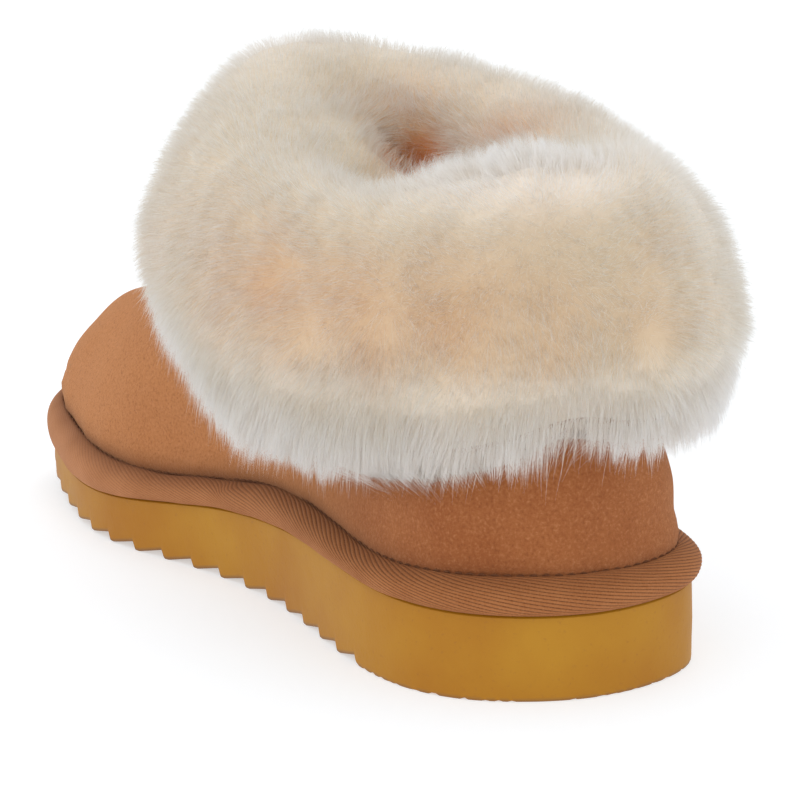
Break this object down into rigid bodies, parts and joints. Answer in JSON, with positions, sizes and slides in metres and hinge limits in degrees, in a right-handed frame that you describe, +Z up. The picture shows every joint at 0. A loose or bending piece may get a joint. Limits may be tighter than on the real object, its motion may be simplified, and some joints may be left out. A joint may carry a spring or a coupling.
{
  "type": "slipper",
  "caption": "Sheepskin slipper for the right foot: hollow suede upper with a deep turned-down wool cuff, bound edge and saw-tooth wedge sole, standing on its sole.",
  "frame": {"origin": "on the heel's flat ground face, on the heel's centre line, 38 mm forward of the back of the sole", "axes": "+Z up, -Y towards the toe, +X towards the inner side of the right foot"},
  "size_m": [0.127, 0.2839, 0.1411],
  "materials": {
    "sole_foam": "matt moulded foam rubber, honey yellow, with a saw-tooth tread",
    "fleece": "short cream wool fleece",
    "twill_tape": "chestnut twill tape, folded round the edge and stitched",
    "suede": "chestnut suede with a short nap",
    "wool": "deep cream sheep's wool, paler at its tips"
  },
  "bodies": {
    "root": {"outsole": "sole_foam", "insole": "fleece", "binding": "twill_tape", "upper": "suede", "cuff": "wool"}
  },
  "joints": []
}
